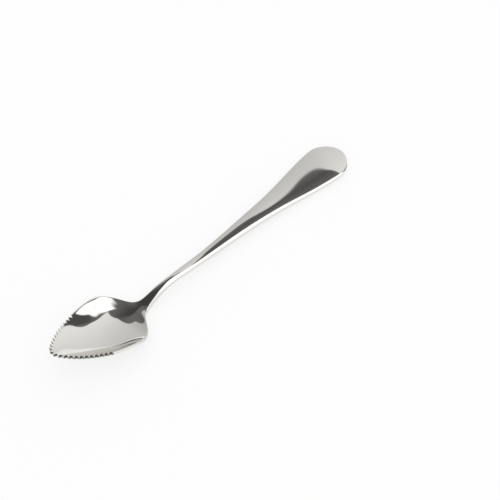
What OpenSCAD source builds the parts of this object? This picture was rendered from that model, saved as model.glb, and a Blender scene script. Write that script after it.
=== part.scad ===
// Grapefruit spoon, pressed and forged from one blank of stainless steel.
// It lies as it rests on a table: on the belly of its bowl and on the end of its handle.
// X runs from the tip of the bowl to the end of the handle, Y across it, and Z is up.
// The origin is on the table, under the middle of the spoon's outer box.
// Bowl, neck and handle are the three zones of the one forging, and meet face to face.

/* [Whole spoon] */
// Length from the tip of the bowl to the end of the handle
spoon_length = 160; // [145:1:178]
// Depth of the small flats that the spoon rests on, under the bowl and the handle's end
rest_flat = 0.2; // [0.1:0.05:0.4]

/* [Bowl] */
// Length from the tip to the heel, where the bowl runs into the neck
bowl_length = 45.5; // [42:0.5:49]
// Distance from the tip to the widest place
bowl_widest_at = 30; // [28:0.5:32]
// Width at the widest place
bowl_width = 29.2; // [26:0.2:33]
// Depth of the hollow below the rim
bowl_depth = 5.3; // [4.5:0.1:6.5]
// Upright thickness of the wall
bowl_wall = 1.7; // [1.3:0.1:2.2]
// Height of the rim at the widest place
rim_height = 8.8; // [7.5:0.1:10]
// Height of the rim at the tip
tip_height = 19.4; // [15:0.1:22]
// Height of the rim at the heel
heel_height = 3.9; // [3.4:0.1:5]
// Run of the heel, from the end of the bowl to where the neck starts
heel_run = 3; // [2:0.5:5]
// Width of the narrow land along the rim
rim_land = 0.6; // [0.3:0.1:1]
// How far the land falls towards the hollow
rim_dip = 0.13; // [0:0.01:0.25]
// How bluntly the outline leaves the tip: a low number is blunt, a high one is sharp
tip_sharpness = 0.64; // [0.56:0.01:0.7]

/* [Teeth] */
// Distance from one groove to the next along the rim
tooth_pitch = 2.1; // [2:0.05:2.6]
// How far a groove reaches in from the rim
tooth_depth = 1.3; // [0.9:0.05:1.6]
// Width of a groove at the rim
groove_width = 1.9; // [1.4:0.05:2]
// Radius of a groove's root
groove_root = 0.12; // [0.1:0.01:0.25]
// Number of grooves on each side of the one at the tip
grooves_a_side = 12; // [8:1:14]

/* [Neck] */
// Distance from the tip to the narrowest place
neck_at = 58.5; // [56:0.5:62]
// Width at the narrowest place
neck_width = 3.8; // [3.2:0.1:5]
// Thickness at the narrowest place
neck_thickness = 3.2; // [2.5:0.1:4]
// Height of its top at the narrowest place
neck_height = 7.2; // [6:0.1:8]

/* [Handle] */
// Distance from the end back to the widest place
handle_widest_from_end = 12; // [10:0.5:14]
// Width at the widest place
handle_width = 18.2; // [15:0.2:21]
// Thickness where it leaves the neck
handle_root_thickness = 2.3; // [1.8:0.1:3]
// Thickness at the end
handle_end_thickness = 1.8; // [1.5:0.1:2.4]
// Height of its edge halfway along
handle_mid_height = 4.5; // [3.9:0.1:5.5]
// Height of its edge at the widest place
handle_widest_height = 2.7; // [2.3:0.1:3.5]
// How far the top stands proud of the edges at the widest place
handle_crown = 1.05; // [0.4:0.05:1.6]

/* [Hidden] */
satin_steel = [0.76, 0.75, 0.73];
polished_steel = [0.84, 0.83, 0.81];

// Half of the points round a section, and the steps between two stations
half_points = 20;
steps = 5;
// The first and last sections stand this share of a stretch inside the spoon's two ends
end_start = 0.06;
// How steep the hollow's walls are at the rim, against 2 for a parabola, in front and at the heel,
// and the share of the bowl's length where the change between the two begins
front_steepness = 2.6;
heel_steepness = 2;
heel_from = 0.5;
// How square the edges are: 2 is an ellipse, and a higher number is nearer a rectangle
edge_square = 10;
neck_square = 2.8;
// The neck starts with this share of its least width on each side, this far up its rise, and the
// handle starts with this share of its crown
start_width = 0.6;
start_rise = 0.16;
root_crown = 0.3;
// How bent the outline is between the tip and the widest place
bow = 1.5;
// The land takes no more than this share of the half width
widest_land = 0.3;
// Grooves are cut this far past the wall
cut_clear = 1;

handle_widest_at = spoon_length - handle_widest_from_end;

// Bowl before its widest place: [share of the way from the tip, share of the depth]
front_steps = [[0.1, 0.13], [0.28, 0.43], [0.52, 0.78], [0.77, 1]];
// Bowl behind it: [share of the way to the heel, share of the half width, share of the depth]
heel_steps = [[0.43, 0.95, 0.72], [0.72, 0.62, 0.41], [0.9, 0.34, 0.17]];
// Handle: [share of the way to its widest place, share of the flare]
flare_steps = [[0.17, 0.012], [0.34, 0.09], [0.52, 0.24], [0.7, 0.46], [0.855, 0.77]];
mid_step = 2;
// End of the handle: [share of the way to the end, share of the half width]
end_steps = [[0.5, 0.925], [0.83, 0.6]];

function blend(a, b, share) = a + (b - a) * share;
function ease(share) = share * share * (3 - 2 * share);

// A station is [distance from the tip, half width, height of the edge, depth of the hollow,
// thickness, crown, squareness]
tip = [0, 0, tip_height, 0, bowl_wall, 0, edge_square];
widest = [bowl_widest_at, bowl_width / 2, rim_height, bowl_depth, bowl_wall, 0, edge_square];
neck_start = [bowl_length + heel_run, neck_width * start_width,
    blend(heel_height, neck_height, start_rise), 0, neck_thickness, 0, edge_square];
narrowest = [neck_at, neck_width / 2, neck_height, 0, neck_thickness,
    root_crown * handle_crown, neck_square];
handle_widest = [handle_widest_at, handle_width / 2, handle_widest_height, 0,
    handle_end_thickness, handle_crown, edge_square];
end = [spoon_length, 0, handle_end_thickness, 0, handle_end_thickness, 0, edge_square];

function front_station(way, depth) = [
    bowl_widest_at * way,
    bowl_width / 2 * pow(1 - pow(1 - way, bow), tip_sharpness),
    blend(rim_height, tip_height, pow(1 - way, 1.2)),
    bowl_depth * depth, bowl_wall, 0, edge_square];
function heel_station(way, width, depth) = [
    blend(bowl_widest_at, bowl_length, way),
    bowl_width / 2 * width,
    blend(heel_height, rim_height, pow(1 - way, 1.2)),
    bowl_depth * depth, blend(bowl_wall, neck_thickness, 0.7 * pow(way, 4)), 0, edge_square];
function flare_height(way, mid) = way < mid
    ? blend(neck_height, handle_mid_height, sin(90 * way / mid))
    : blend(handle_widest_height, handle_mid_height, pow((1 - way) / (1 - mid), 1.4));
function flare_station(way, flare) = [
    blend(neck_at, handle_widest_at, way),
    blend(neck_width, handle_width, flare) / 2,
    flare_height(way, flare_steps[mid_step][0]), 0,
    blend(handle_root_thickness, handle_end_thickness, ease(way)),
    handle_crown * blend(root_crown, 1, way),
    blend(neck_square, edge_square, ease(min(1, 2 * way)))];
function end_station(way, width) = [
    blend(handle_widest_at, spoon_length, way),
    handle_width / 2 * width,
    blend(handle_widest_height, handle_end_thickness, way), 0,
    handle_end_thickness, handle_crown * width * width, edge_square];

stations = [
    tip,
    for (s = front_steps) front_station(s[0], s[1]),
    widest,
    for (s = heel_steps) heel_station(s[0], s[1], s[2]),
    neck_start,
    narrowest,
    for (s = flare_steps) flare_station(s[0], s[1]),
    handle_widest,
    for (s = end_steps) end_station(s[0], s[1]),
    end
];
last = len(stations) - 1;
neck_from = len(front_steps) + len(heel_steps) + 2;
handle_from = neck_from + 2;

// A smooth curve runs through all the stations, and leaves both ends straight across the spoon.
// slopes holds its rate of change at each station.
across = [0, 1.25, 0, 0, 0, 0, 0];
tip_slope = across * stations[1][1];
end_slope = -across * stations[last - 1][1];
function pull(i) = 3 * (stations[min(i, last - 1) + 1] - stations[min(i, last - 1) - 1]);
sweep = [
    for (i = 1, c = 1 / 4, d = (pull(1) - tip_slope) / 4; i < last;
        i = i + 1, c = 1 / (4 - c), d = (pull(i) - d) * c) [c, d]
];
function slopes_before(i, found) = i == 0
    ? concat([tip_slope], found)
    : slopes_before(i - 1, concat([sweep[i - 1][1] - sweep[i - 1][0] * found[0]], found));
slopes = slopes_before(last - 1, [end_slope]);

// The station at place u, where a whole number is one of the list
function at(u) = let (i = min(floor(u), last - 1), f = u - i)
    (2 * f * f * f - 3 * f * f + 1) * stations[i] + (f * f * f - 2 * f * f + f) * slopes[i]
    + (3 * f * f - 2 * f * f * f) * stations[i + 1] + (f * f * f - f * f) * slopes[i + 1];

// The spoon is tipped until its belly and its end both touch the table
function underside(s) = s[2] - s[3] - s[4];
belly = [for (u = [1:1 / steps:neck_from]) at(u)];
belly_low = min([for (s = belly) underside(s)]);
belly_at = [for (s = belly) if (underside(s) == belly_low) s[0]][0];
function lift(x) = -belly_low * (spoon_length - x) / (spoon_length - belly_at) - rest_flat;

// Share of the hollow's depth at v, which runs from 0 at the middle to 1 at the rim
function hollow_share(v, land, steep) = let (inner = pow(min(1, abs(v) / (1 - land)), 2))
    1 - inner * (2 - steep / 2 + (steep / 2 - 1) * inner);

// Height of the top and of the underside of the section at station s
function top_side(s, v, e, steep) =
    let (land = min(widest_land, rim_land / max(s[1], rim_land)),
        hollow = (hollow_share(v - land / 3, land, steep) + 2 * hollow_share(v, land, steep)
            + hollow_share(v + land / 3, land, steep)) / 4,
        dip = rim_dip * min(1, 2 * s[3] / bowl_depth) * min(1, (1 - abs(v)) / land))
    s[2] + s[4] / 2 * (e - 1) + s[5] * (1 - v * v) - s[3] * hollow - dip;
function under_side(s, v, e, steep) =
    s[2] - s[4] / 2 * (1 + e) - s[3] * hollow_share(v, 0, steep);

// One point of the section at station s: j goes once round it, over the top first
function section_point(s, j) =
    let (v = cos(180 * j / half_points), upper = j <= half_points,
        e = pow(max(0, 1 - pow(abs(v), s[6])), 1 / s[6]),
        to_heel = (s[0] / bowl_length - heel_from) / (1 - heel_from),
        steep = blend(front_steepness, heel_steepness, ease(max(0, min(1, to_heel)))),
        z = upper ? top_side(s, v, e, steep) : under_side(s, v, e, steep))
    [s[0] - spoon_length / 2, s[1] * v, max(0, z + lift(s[0]))];

// Solid between the places u0 and u1: its skin, and an end face across the thickness at each end
module zone(u0, u1) {
    count = ceil((u1 - u0) * steps);
    ring = 2 * half_points;
    points = [
        for (k = [0:count], j = [0:ring - 1]) section_point(at(blend(u0, u1, k / count)), j)
    ];
    skin = [
        for (k = [0:count - 1], j = [0:ring - 1])
            let (a = k * ring + j, b = k * ring + (j + 1) % ring)
            each [[a, b + ring, b], [a, a + ring, b + ring]]
    ];
    function end_face(base) = [
        for (j = [0:half_points - 1])
            let (a = base + j, b = base + j + 1,
                c = base + (ring - j) % ring, d = base + ring - j - 1)
            each concat(j == 0 ? [] : [[a, c, b]], j == half_points - 1 ? [] : [[b, c, d]])
    ];
    function turned(faces) = [for (f = faces) [f[2], f[1], f[0]]];
    polyhedron(points, concat(skin, turned(end_face(0)), end_face(count * ring)));
}

// Length along the rim from the tip, against the place on the curve
rim_part = 1 / 20;
function rim_at(k) = let (s = at(k * rim_part)) [s[0], s[1], s[2]];
rim_lengths = [
    for (k = 0, run = 0; k <= neck_from / rim_part;
        k = k + 1, run = run + norm(rim_at(k) - rim_at(k - 1))) [run, k * rim_part]
];

// Groove between two teeth, cut straight down through the wall at the place u on the rim
module groove(u) {
    s = at(u);
    near = at(u + rim_part);
    reach = tooth_depth + cut_clear;
    wide = groove_root + (groove_width / 2 - groove_root) * reach / tooth_depth;
    tall = 2 * bowl_wall + 2 * cut_clear;
    translate([s[0] - spoon_length / 2, s[1], s[2] + lift(s[0]) + cut_clear - tall])
        rotate([0, 0, atan2(near[0] - s[0], s[1] - near[1])])
            hull() {
                translate([-tooth_depth + groove_root, 0, 0]) cylinder(r = groove_root, h = tall, $fn = 12);
                translate([cut_clear, -wide, 0]) cube([0.1, 2 * wide, tall]);
            }
}

module grooves() {
    groove(0);
    for (k = [1:grooves_a_side], side = [0, 1])
        mirror([0, side, 0]) groove(lookup(k * tooth_pitch, rim_lengths));
}

// Pointed bowl with its saw edge
module bowl() {
    color(polished_steel) difference() {
        zone(end_start, neck_from);
        grooves();
    }
}

// Narrow bent neck between the bowl's heel and the handle
module neck() {
    color(polished_steel) zone(neck_from, handle_from);
}

// Handle that widens to its rounded end
module handle() {
    color(satin_steel) zone(handle_from, last - end_start);
}

bowl();
neck();
handle();
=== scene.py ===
"""Grapefruit spoon of polished stainless steel, lying on a white table, hollow side up."""

import bpy
import numpy as np
from mathutils import Matrix, Vector


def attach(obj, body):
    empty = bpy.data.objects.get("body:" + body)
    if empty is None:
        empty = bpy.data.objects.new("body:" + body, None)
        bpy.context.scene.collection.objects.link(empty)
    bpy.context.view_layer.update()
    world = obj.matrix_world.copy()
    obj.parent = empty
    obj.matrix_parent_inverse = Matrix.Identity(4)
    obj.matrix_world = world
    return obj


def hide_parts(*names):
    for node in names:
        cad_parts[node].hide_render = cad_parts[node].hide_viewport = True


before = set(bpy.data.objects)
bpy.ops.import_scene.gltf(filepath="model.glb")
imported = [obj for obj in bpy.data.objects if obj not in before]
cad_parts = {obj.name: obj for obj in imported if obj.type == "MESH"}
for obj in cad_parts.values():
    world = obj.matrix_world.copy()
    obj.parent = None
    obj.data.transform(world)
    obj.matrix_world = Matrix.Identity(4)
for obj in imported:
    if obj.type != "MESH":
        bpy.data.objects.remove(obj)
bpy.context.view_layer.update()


# Camera
# It looks down on the spoon from beyond the near side of the bowl, from far off and through a
# long lens, so the spoon keeps almost the same scale from its tip to the end of its handle.
view_height = np.radians(54.40)
view_turn = np.radians(41.33)
view_roll = np.radians(-2.83)
view_distance = 0.9
aim = Vector((0.01760, -0.00917, 0.0))
pixels_a_metre = 2431.8
picture_width = 500
sensor_width = 36

across = Vector((np.cos(view_turn), -np.sin(view_turn), 0))
along = Vector((np.sin(view_turn), np.cos(view_turn), 0))
looking = along * np.cos(view_height) - Vector((0, 0, np.sin(view_height)))
upward = along * np.sin(view_height) + Vector((0, 0, np.cos(view_height)))
right = across * np.cos(view_roll) + upward * np.sin(view_roll)
top = upward * np.cos(view_roll) - across * np.sin(view_roll)
place = aim - looking * view_distance

camera_data = bpy.data.cameras.new("camera")
camera_data.sensor_width = sensor_width
camera_data.lens = sensor_width * pixels_a_metre * view_distance / picture_width
camera_data.clip_start = 0.01
camera = bpy.data.objects.new("camera", camera_data)
camera.matrix_world = Matrix((
    (right.x, top.x, -looking.x, place.x),
    (right.y, top.y, -looking.y, place.y),
    (right.z, top.z, -looking.z, place.z),
    (0, 0, 0, 1),
))
bpy.context.scene.collection.objects.link(camera)
bpy.context.scene.camera = camera
bpy.context.scene.view_settings.view_transform = "Standard"


# Spoon blank: bowl, neck and handle
# One blank of stainless steel, cut to outline, rolled thinner at both ends, and pressed to its
# form between two dies. It is one piece, so one mesh stands for all three zones of the frame.
# Places along it are counted from the tip of the bowl.
mm = 0.001
length = 160 * mm
# Depth of the small flats that it rests on, under the bowl and the handle's end
rest_flat = 0.2 * mm

bowl_length = 45.5 * mm
bowl_widest_at = 30 * mm
bowl_width = 29.2 * mm
bowl_depth = 5.3 * mm
bowl_wall = 1.7 * mm
# Width of the narrow land along the rim, and how far it falls towards the hollow
rim_land = 0.6 * mm
rim_dip = 0.13 * mm
# Height of the rim at the widest place, at the tip and at the heel
rim_height = 8.8 * mm
tip_height = 19.4 * mm
heel_height = 3.9 * mm
# Run of the heel, from the end of the bowl to where the neck starts
heel_run = 3 * mm
# How bluntly the outline leaves the tip: a low number is blunt, a high one is sharp
tip_sharpness = 0.64

neck_at = 58.5 * mm
neck_width = 3.8 * mm
neck_thickness = 3.2 * mm
neck_height = 7.2 * mm

handle_widest_at = length - 12 * mm
handle_width = 18.2 * mm
handle_root_thickness = 2.3 * mm
handle_end_thickness = 1.8 * mm
handle_mid_height = 4.5 * mm
handle_widest_height = 2.7 * mm
# How far the top stands proud of the edges at the widest place
handle_crown = 1.05 * mm

# How steep the hollow's walls are at the rim, against 2 for a parabola, in front and at the heel,
# and the share of the bowl's length where the change between the two begins
front_steepness = 2.6
heel_steepness = 2.0
heel_from = 0.5
# How square the edges are: 2 is an ellipse, and a higher number is nearer a rectangle
edge_square = 10
neck_square = 2.8
# The neck starts with this share of its least width on each side, this far up its rise, and the
# handle starts with this share of its crown
start_width = 0.6
start_rise = 0.16
root_crown = 0.3
# How bent lines are: the outline up to the widest place, the rim's rise to the tip and down to
# the heel, the wall's growth towards the neck, and the handle's slope down to its widest place
bow = 1.5
rim_bend = 1.2
wall_bend = 4
slope_bend = 1.4
# How far the wall has grown towards the neck's thickness where the bowl ends
heel_wall = 0.7
# The land takes no more than this share of the half width
widest_land = 0.3

# Bowl before its widest place: (share of the way from the tip, share of the depth)
front_steps = ((0.1, 0.13), (0.28, 0.43), (0.52, 0.78), (0.77, 1))
# Bowl behind it: (share of the way to the heel, share of the half width, share of the depth)
heel_steps = ((0.43, 0.95, 0.72), (0.72, 0.62, 0.41), (0.9, 0.34, 0.17))
# Handle: (share of the way to its widest place, share of the flare)
flare_steps = ((0.17, 0.012), (0.34, 0.09), (0.52, 0.24), (0.7, 0.46), (0.855, 0.77))
mid_way = flare_steps[2][0]
# End of the handle: (share of the way to the end, share of the half width)
end_steps = ((0.5, 0.925), (0.83, 0.6))


def blend(a, b, share):
    return a + (b - a) * share


def ease(share):
    return share * share * (3 - 2 * share)


# A station is (distance from the tip, half width, height of the edge, depth of the hollow,
# thickness, crown, squareness of the edge)
def front_station(way, depth):
    return (
        bowl_widest_at * way,
        bowl_width / 2 * (1 - (1 - way) ** bow) ** tip_sharpness,
        blend(rim_height, tip_height, (1 - way) ** rim_bend),
        bowl_depth * depth, bowl_wall, 0, edge_square,
    )


def heel_station(way, width, depth):
    return (
        blend(bowl_widest_at, bowl_length, way),
        bowl_width / 2 * width,
        blend(heel_height, rim_height, (1 - way) ** rim_bend),
        bowl_depth * depth,
        blend(bowl_wall, neck_thickness, heel_wall * way ** wall_bend), 0, edge_square,
    )


def flare_height(way):
    if way < mid_way:
        return blend(neck_height, handle_mid_height, np.sin(np.pi / 2 * way / mid_way))
    rise = ((1 - way) / (1 - mid_way)) ** slope_bend
    return blend(handle_widest_height, handle_mid_height, rise)


def flare_station(way, flare):
    return (
        blend(neck_at, handle_widest_at, way),
        blend(neck_width, handle_width, flare) / 2,
        flare_height(way), 0,
        blend(handle_root_thickness, handle_end_thickness, ease(way)),
        handle_crown * blend(root_crown, 1, way),
        blend(neck_square, edge_square, ease(min(1, 2 * way))),
    )


def end_station(way, width):
    return (
        blend(handle_widest_at, length, way),
        handle_width / 2 * width,
        blend(handle_widest_height, handle_end_thickness, way), 0,
        handle_end_thickness, handle_crown * width ** 2, edge_square,
    )


stations = np.array([
    (0, 0, tip_height, 0, bowl_wall, 0, edge_square),
    *[front_station(*step) for step in front_steps],
    (bowl_widest_at, bowl_width / 2, rim_height, bowl_depth, bowl_wall, 0, edge_square),
    *[heel_station(*step) for step in heel_steps],
    (bowl_length + heel_run, neck_width * start_width,
     blend(heel_height, neck_height, start_rise), 0, neck_thickness, 0, edge_square),
    (neck_at, neck_width / 2, neck_height, 0, neck_thickness,
     root_crown * handle_crown, neck_square),
    *[flare_station(*step) for step in flare_steps],
    (handle_widest_at, handle_width / 2, handle_widest_height, 0, handle_end_thickness,
     handle_crown, edge_square),
    *[end_station(*step) for step in end_steps],
    (length, 0, handle_end_thickness, 0, handle_end_thickness, 0, edge_square),
])
last = len(stations) - 1
neck_from = len(front_steps) + len(heel_steps) + 2

# The curve through the stations is smooth, and leaves both ends straight across the spoon.
# slopes holds its rate of change at each station.
end_pull = 1.25
across_only = np.array((0, end_pull, 0, 0, 0, 0, 0))
pulls = np.zeros_like(stations)
pulls[1:-1] = 3 * (stations[2:] - stations[:-2])
pulls[0] = across_only * stations[1, 1]
pulls[-1] = -across_only * stations[-2, 1]
ties = np.eye(last + 1)
for i in range(1, last):
    ties[i, i - 1:i + 2] = (1, 4, 1)
slopes = np.linalg.solve(ties, pulls)


def at(u):
    """The stations at the places u, where a whole number is one of the list."""
    i = np.minimum(u.astype(int), last - 1)
    f = (u - i)[:, None]
    return ((2 * f ** 3 - 3 * f ** 2 + 1) * stations[i] + (f ** 3 - 2 * f ** 2 + f) * slopes[i]
            + (3 * f ** 2 - 2 * f ** 3) * stations[i + 1] + (f ** 3 - f ** 2) * slopes[i + 1])


# The spoon is tipped until its belly and the end of its handle both touch the table
belly_step = 0.2
belly = at(np.arange(1, neck_from + belly_step / 2, belly_step))
underside = belly[:, 2] - belly[:, 3] - belly[:, 4]
belly_low = underside.min()
belly_at = belly[underside.argmin(), 0]


def lift(x):
    return -belly_low * (length - x) / (length - belly_at) - rest_flat


def hollow_share(v, land, steepness):
    """Share of the hollow's depth at v, which runs from 0 at the middle to 1 at the rim."""
    inner = np.minimum(1, np.abs(v) / (1 - land)) ** 2
    return 1 - inner * (2 - steepness / 2 + (steepness / 2 - 1) * inner)


def sections(rows, turns):
    """One ring of points for each row, going once round it over the top first."""
    x, half, edge, hollow, thick, crown, square = (rows[:, i, None] for i in range(7))
    v = np.cos(turns)[None, :]
    upper = (np.arange(len(turns)) <= len(turns) // 2)[None, :]
    e = np.maximum(0, 1 - np.abs(v) ** square) ** (1 / square)
    middle = edge - thick / 2
    land = np.minimum(widest_land, rim_land / np.maximum(half, rim_land))
    to_heel = np.clip((x - heel_from * bowl_length) / (bowl_length * (1 - heel_from)), 0, 1)
    steepness = blend(front_steepness, heel_steepness, ease(to_heel))
    inside = sum(hollow_share(v + k * land / 3, land, steepness) for k in (-1, 0, 0, 1)) / 4
    dip = rim_dip * np.minimum(1, 2 * hollow / bowl_depth) * np.minimum(1, (1 - np.abs(v)) / land)
    top_side = middle + thick / 2 * e + crown * (1 - v * v) - hollow * inside - dip
    under_side = middle - thick / 2 * e - hollow * hollow_share(v, 0, steepness)
    z = np.where(upper, top_side, under_side)
    z = np.maximum(0, z + lift(x))
    return np.stack(np.broadcast_arrays(x - length / 2, half * v, z), axis=-1)


def mesh_object(name, points, faces, material):
    mesh = bpy.data.meshes.new(name)
    mesh.from_pydata(points, [], faces)
    mesh.materials.append(material)
    mesh.validate()
    thing = bpy.data.objects.new(name, mesh)
    bpy.context.scene.collection.objects.link(thing)
    return thing


# Polished stainless steel: a mirror with a trace of haze and a faint ripple. The walls of the
# notches, where the attribute "ground" is 1, are painted dark: painted shade in the notches.
steel_colour = (0.78, 0.765, 0.73, 1)
# Painted shade: the notch walls take this dark base colour so that they look shaded
notch_painted_shade_colour = (0.16, 0.155, 0.145, 1)
haze_grains_a_metre = 140
least_haze = 0.03
most_haze = 0.08
ripples_a_metre = 90
ripple_height = 0.02 * mm
ripple_strength = 0.25

steel = bpy.data.materials.new("polished_steel")
steel.use_nodes = True
nodes = steel.node_tree.nodes
links = steel.node_tree.links
shader = nodes["Principled BSDF"]
shader.inputs["Base Color"].default_value = steel_colour
shader.inputs["Metallic"].default_value = 1

# The attribute "ground" marks the notch walls, and the mix paints the dark shade colour onto them
notch_shade_mask = nodes.new("ShaderNodeAttribute")
notch_shade_mask.attribute_name = "ground"
painted_notch_shade = nodes.new("ShaderNodeMix")
painted_notch_shade.data_type = "RGBA"
painted_notch_shade.inputs["A"].default_value = steel_colour
painted_notch_shade.inputs["B"].default_value = notch_painted_shade_colour
links.new(notch_shade_mask.outputs["Fac"], painted_notch_shade.inputs["Factor"])
links.new(painted_notch_shade.outputs["Result"], shader.inputs["Base Color"])

on_piece = nodes.new("ShaderNodeTexCoord").outputs["Object"]
haze = nodes.new("ShaderNodeTexNoise")
haze.inputs["Scale"].default_value = haze_grains_a_metre
haze.inputs["Detail"].default_value = 4
links.new(on_piece, haze.inputs["Vector"])
haze_range = nodes.new("ShaderNodeMapRange")
haze_range.inputs["To Min"].default_value = least_haze
haze_range.inputs["To Max"].default_value = most_haze
links.new(haze.outputs["Fac"], haze_range.inputs["Value"])
links.new(haze_range.outputs["Result"], shader.inputs["Roughness"])

ripple = nodes.new("ShaderNodeTexNoise")
ripple.inputs["Scale"].default_value = ripples_a_metre
ripple.inputs["Detail"].default_value = 1
links.new(on_piece, ripple.inputs["Vector"])
ripple_bump = nodes.new("ShaderNodeBump")
ripple_bump.inputs["Strength"].default_value = ripple_strength
ripple_bump.inputs["Distance"].default_value = ripple_height
links.new(ripple.outputs["Fac"], ripple_bump.inputs["Height"])
links.new(ripple_bump.outputs["Normal"], shader.inputs["Normal"])

# The skin is rings of points across the spoon, which crowd towards its edges. Its first and last
# ring stand a little inside the ends and are closed across. The solids' flat facets cut across
# the curves, so the smooth skin is a hair smaller to stay inside their box.
rings = 360
points_a_quarter = 46
edge_crowding = 1.8
end_inset = 0.06
inside_frame = 0.9994
ring_places = np.linspace(end_inset, last - end_inset, rings)
quarter = np.pi / 2 * np.linspace(0, 1, points_a_quarter + 1) ** edge_crowding
over = np.concatenate([quarter, np.pi - quarter[-2:0:-1]])
turns = np.concatenate([over, over + np.pi])
ring_points = len(turns)
blank_points = sections(at(ring_places), turns).reshape(-1, 3) * inside_frame


def ring_point(ring, j):
    return ring * ring_points + j % ring_points


blank_faces = [
    (ring_point(k, j), ring_point(k, j + 1), ring_point(k + 1, j + 1), ring_point(k + 1, j))
    for k in range(rings - 1) for j in range(ring_points)
]
for ring, turned in ((0, True), (rings - 1, False)):
    for j in range(ring_points // 2):
        corners = [ring_point(ring, i) for i in (j, j + 1, -j - 1, -j)]
        corners = list(dict.fromkeys(corners))
        blank_faces.append(corners[::-1] if turned else corners)
blank = mesh_object("spoon", blank_points.tolist(), blank_faces, steel)


# Saw teeth
# The rim is ground through at an even pitch, from one side of the bowl round the tip to the
# other, so the steel left between the notches stands as short blunt teeth.
tooth_pitch = 2.1 * mm
notch_depth = 1.3 * mm
notch_width = 1.9 * mm
notch_root = 0.12 * mm
notches_a_side = 12
wheel_reach = 0.6 * mm
wheel_height = 6 * mm
wheel_back = 0.1 * mm
root_facets = 16
rim_points = 241
smooth_up_to = np.radians(32)

rim_stations = at(np.linspace(0, neck_from, rim_points))
rim_side = np.stack([
    rim_stations[:, 0] - length / 2, rim_stations[:, 1],
    rim_stations[:, 2] + lift(rim_stations[:, 0]),
], axis=-1)
rim_line = np.concatenate([rim_side[:0:-1], rim_side * (1, -1, 1)])
rim_curve = bpy.data.curves.new("rim", "CURVE")
rim_curve.dimensions = "3D"
rim_spline = rim_curve.splines.new("POLY")
rim_spline.points.add(len(rim_line) - 1)
for point, spot in zip(rim_spline.points, rim_line):
    point.co = (*spot, 1)
rim = bpy.data.objects.new("rim", rim_curve)
bpy.context.scene.collection.objects.link(rim)

teeth = bpy.data.node_groups.new("teeth", "GeometryNodeTree")
teeth.interface.new_socket("Geometry", in_out="OUTPUT", socket_type="NodeSocketGeometry")
teeth_sizes = {
    "Blank": ("Geometry", None),
    "Rim": ("Object", rim),
    "Pitch": ("Float", tooth_pitch),
    "Depth": ("Float", notch_depth),
    "Width": ("Float", notch_width),
    "Root radius": ("Float", notch_root),
    "Reach": ("Float", wheel_reach),
    "Height": ("Float", wheel_height),
    "Notches a side": ("Int", notches_a_side),
    "Steel": ("Material", steel),
}
teeth_inputs = {
    name: teeth.interface.new_socket(name, in_out="INPUT", socket_type="NodeSocket" + kind)
    for name, (kind, value) in teeth_sizes.items()
}
given = teeth.nodes.new("NodeGroupInput").outputs


def teeth_node(kind, inputs, **settings):
    """A node of the tree: kind is short for its type, and a socket among the inputs is linked."""
    node = teeth.nodes.new("GeometryNode" + kind if ":" not in kind else kind.replace(":", "Node"))
    for name, value in settings.items():
        setattr(node, name, value)
    for key, value in inputs.items():
        if isinstance(value, bpy.types.NodeSocket):
            teeth.links.new(value, node.inputs[key])
        else:
            node.inputs[key].default_value = value
    return node.outputs[0]


def teeth_math(operation, a, b):
    return teeth_node("Shader:Math", {0: a, 1: b}, operation=operation)


# Places of the notches: at an even pitch along the middle stretch of the rim, round the tip
run = teeth_math("MULTIPLY", given["Pitch"], given["Notches a side"])
rim_shape = teeth_node("ObjectInfo", {"Object": given["Rim"]}).node.outputs["Geometry"]
tip_at = teeth_math("MULTIPLY", teeth_node("CurveLength", {"Curve": rim_shape}), 0.5)
sawn = teeth_node("TrimCurve", {
    "Curve": rim_shape,
    4: teeth_math("SUBTRACT", tip_at, run),
    5: teeth_math("ADD", tip_at, run),
}, mode="LENGTH")
notch_count = teeth_math("ADD", teeth_math("MULTIPLY", given["Notches a side"], 2), 1)
notch_places = teeth_node("ResampleCurve", {"Curve": sawn, "Count": notch_count}, mode="COUNT")

# Form of a notch: it is rounded at its root and widens evenly until it is well outside the rim
root_inset = teeth_math("SUBTRACT", given["Root radius"], given["Depth"])
widening = teeth_math("DIVIDE", teeth_math("ADD", given["Depth"], given["Reach"]), given["Depth"])
half_width = teeth_math("MULTIPLY", given["Width"], 0.5)
half_root = teeth_math("SUBTRACT", half_width, given["Root radius"])
half_mouth = teeth_math("ADD", teeth_math("MULTIPLY", half_root, widening), given["Root radius"])
mouth = teeth_math("MULTIPLY", half_mouth, 2)
root = teeth_node("MeshCylinder", {
    "Vertices": root_facets, "Radius": given["Root radius"], "Depth": given["Height"]})
root = teeth_node("Transform", {
    "Geometry": root, "Translation": teeth_node("Shader:CombineXYZ", {"X": root_inset})})
back = teeth_node("MeshCube", {"Size": teeth_node("Shader:CombineXYZ", {
    "X": wheel_back, "Y": mouth, "Z": given["Height"]})})
back = teeth_node("Transform", {
    "Geometry": back, "Translation": teeth_node("Shader:CombineXYZ", {"X": given["Reach"]})})
both = teeth_node("JoinGeometry", {"Geometry": root})
teeth.links.new(back, both.node.inputs["Geometry"])
notch = teeth_node("ConvexHull", {"Geometry": both})

# The notches stand upright, face out across the rim, and are ground out of the blank
along_rim = teeth_node("InputTangent", {})
outward = teeth_node("Shader:VectorMath", {0: along_rim, 1: (0, 0, 1)}, operation="CROSS_PRODUCT")
facing = teeth_node("Function:AxesToRotation", {
    "Primary Axis": (0, 0, 1), "Secondary Axis": outward}, primary_axis="Z", secondary_axis="X")
notches = teeth_node("InstanceOnPoints", {
    "Points": notch_places, "Instance": notch, "Rotation": facing})
notches = teeth_node("RealizeInstances", {"Geometry": notches})
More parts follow.
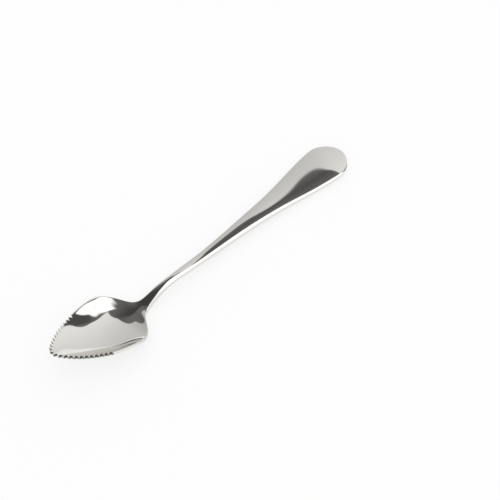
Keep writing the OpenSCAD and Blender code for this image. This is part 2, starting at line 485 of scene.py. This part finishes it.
# The notch faces are marked here so that the steel paints its dark shade colour onto them
notches = teeth_node("StoreNamedAttribute", {"Geometry": notches, "Name": "ground", "Value": 1.0},
                     data_type="FLOAT", domain="FACE")
ground = teeth_node("MeshBoolean", {"Mesh 1": given["Blank"], "Mesh 2": notches},
                    operation="DIFFERENCE", solver="MANIFOLD")
finished = teeth_node("SetMaterial", {"Geometry": ground, "Material": given["Steel"]})
teeth_end = teeth.nodes.new("NodeGroupOutput")
teeth.links.new(finished, teeth_end.inputs["Geometry"])

grinding = blank.modifiers.new("teeth", "NODES")
grinding.node_group = teeth
for name, (kind, value) in teeth_sizes.items():
    if value is not None:
        grinding[teeth_inputs[name].identifier] = value
evaluated = blank.evaluated_get(bpy.context.evaluated_depsgraph_get())
spoon_mesh = bpy.data.meshes.new_from_object(evaluated)
blank.modifiers.remove(grinding)
blank.data = spoon_mesh
bpy.data.objects.remove(rim)
for polygon in spoon_mesh.polygons:
    polygon.use_smooth = True
spoon_mesh.set_sharp_from_angle(angle=smooth_up_to)

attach(blank, "root")
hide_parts("bowl", "neck", "handle")


# Floor and studio
# A white paper table under a white tent. The steel mirrors a bright backdrop behind the spoon,
# one softbox beside the camera, and the dark room between and above them.
floor_size = 3.0
floor_sink = 0.1 * mm
paper_colour = (0.96, 0.96, 0.96, 1)
paper_glow = 0.7

floor_material = bpy.data.materials.new("floor")
floor_material.use_nodes = True
floor_nodes = floor_material.node_tree.nodes
floor_links = floor_material.node_tree.links
floor_shader = floor_nodes["Principled BSDF"]
floor_shader.inputs["Base Color"].default_value = paper_colour
floor_shader.inputs["Roughness"].default_value = 0.9
floor_shader.inputs["Specular IOR Level"].default_value = 0
floor_ray = floor_nodes.new("ShaderNodeLightPath")
seen_ray = floor_nodes.new("ShaderNodeMath")
seen_ray.operation = "MAXIMUM"
floor_links.new(floor_ray.outputs["Is Camera Ray"], seen_ray.inputs[0])
floor_links.new(floor_ray.outputs["Is Glossy Ray"], seen_ray.inputs[1])
seen_share = floor_nodes.new("ShaderNodeMath")
seen_share.operation = "MULTIPLY"
seen_share.inputs[1].default_value = paper_glow
floor_links.new(seen_ray.outputs[0], seen_share.inputs[0])
paper = floor_nodes.new("ShaderNodeEmission")
paper_mix = floor_nodes.new("ShaderNodeMixShader")
floor_links.new(seen_share.outputs[0], paper_mix.inputs["Fac"])
floor_links.new(floor_shader.outputs[0], paper_mix.inputs[1])
floor_links.new(paper.outputs[0], paper_mix.inputs[2])
floor_links.new(paper_mix.outputs[0], floor_nodes["Material Output"].inputs["Surface"])
floor_corners = [
    (floor_size * x, floor_size * y, -floor_sink) for x, y in ((-1, -1), (1, -1), (1, 1), (-1, 1))
]
floor = mesh_object("floor", floor_corners, [(0, 1, 2, 3)], floor_material)

world = bpy.data.worlds.new("studio")
bpy.context.scene.world = world
world.use_nodes = True
studio = world.node_tree
studio.nodes.clear()


def studio_math(operation, *values):
    node = studio.nodes.new("ShaderNodeMath")
    node.operation = operation
    for socket, value in zip(node.inputs, values):
        if isinstance(value, (int, float)):
            socket.default_value = value
        else:
            studio.links.new(value, socket)
    return node.outputs[0]


def product(*values):
    result = values[0]
    for value in values[1:]:
        result = studio_math("MULTIPLY", result, value)
    return result


def brightest(*values):
    result = values[0]
    for value in values[1:]:
        result = studio_math("MAXIMUM", result, value)
    return result


def ramp(value, start, finish):
    """Smooth step through two points, each given as (value, result)."""
    node = studio.nodes.new("ShaderNodeMapRange")
    node.interpolation_type = "SMOOTHSTEP"
    studio.links.new(value, node.inputs["Value"])
    node.inputs["From Min"].default_value = start[0]
    node.inputs["From Max"].default_value = finish[0]
    node.inputs["To Min"].default_value = start[1]
    node.inputs["To Max"].default_value = finish[1]
    return node.outputs["Result"]


# A direction is its turn, from the end of the handle towards the far side of the spoon, and its
# height over the table, both in degrees
heading = studio.nodes.new("ShaderNodeTexCoord")
parts = studio.nodes.new("ShaderNodeSeparateXYZ")
studio.links.new(heading.outputs["Generated"], parts.inputs[0])
turn = studio_math("DEGREES", studio_math("ARCTAN2", parts.outputs["Y"], parts.outputs["X"]))
height = studio_math("DEGREES", studio_math("ARCSINE", parts.outputs["Z"]))

# Room: seen from the camera it is darkest on the far left and palest on the near right. Stray
# light shows over the backdrop, and the gap between the backdrop and the softbox is darker.
near_right = (0.34, -0.94)
dark_room = 0.055
pale_room = 0.2
stray_light = 0.16
gap_darkening = 0.6
side = studio_math("ADD", product(parts.outputs["X"], near_right[0]),
                   product(parts.outputs["Y"], near_right[1]))
room = ramp(side, (-0.35, dark_room), (0.45, pale_room))
glow = product(ramp(turn, (-20, 0), (70, stray_light)), ramp(turn, (125, 0), (90, 1)),
               ramp(height, (74, 0), (58, 1)))
gap = product(ramp(turn, (-42, 0), (-38, 1)), ramp(turn, (-4, 0), (-14, 1)),
              ramp(height, (66, 0), (30, 1)))
room = product(brightest(room, glow), studio_math("SUBTRACT", 1, product(gap, gap_darkening)))

# Backdrop: it starts at a turn that changes with the height. As the turn grows, its top falls and
# its light fades. The corner between its start and its top is round.
backdrop_start = studio_math("ADD", ramp(height, (6, -16), (26, -4)),
                             ramp(height, (28, 0), (44, -4)))
backdrop_top = studio_math("ADD", ramp(turn, (27, 57), (62, 46.5)), ramp(turn, (74, 0), (116, -40)))
corner_roundness = 8
backdrop_inside = studio_math("SMOOTH_MIN", studio_math("SUBTRACT", turn, backdrop_start),
                              studio_math("SUBTRACT", backdrop_top, height), corner_roundness)
backdrop = product(ramp(backdrop_inside, (-1, 0), (1, 1)), ramp(turn, (-30, 0.98), (130, 0.45)))

# Softbox: it ends at a turn that grows with the height, and fades out at its start and its top
softbox_level = 1.5
past_softbox = studio_math("SUBTRACT", turn, ramp(height, (32, -31), (58, -9)))
softbox = product(ramp(turn, (-140, 0), (-95, 1)), ramp(past_softbox, (2.5, 0), (-1, 1)),
                  ramp(height, (84, 0), (66, 1)), softbox_level)

# Horizon: the pale edge of the table, low all round
horizon = ramp(height, (2, 0), (0, 0.8))

# Only what is mirrored sees this room; the light on the table comes evenly from the white tent
ray = studio.nodes.new("ShaderNodeLightPath")
mirrored = ray.outputs["Is Glossy Ray"]
level = studio_math("ADD", product(brightest(backdrop, horizon, softbox, room), mirrored),
                    studio_math("SUBTRACT", 1, mirrored))
background = studio.nodes.new("ShaderNodeBackground")
background.inputs["Color"].default_value = (1, 1, 1, 1)
studio.links.new(level, background.inputs["Strength"])
output = studio.nodes.new("ShaderNodeOutputWorld")
studio.links.new(background.outputs[0], output.inputs["Surface"])

bpy.context.view_layer.update()
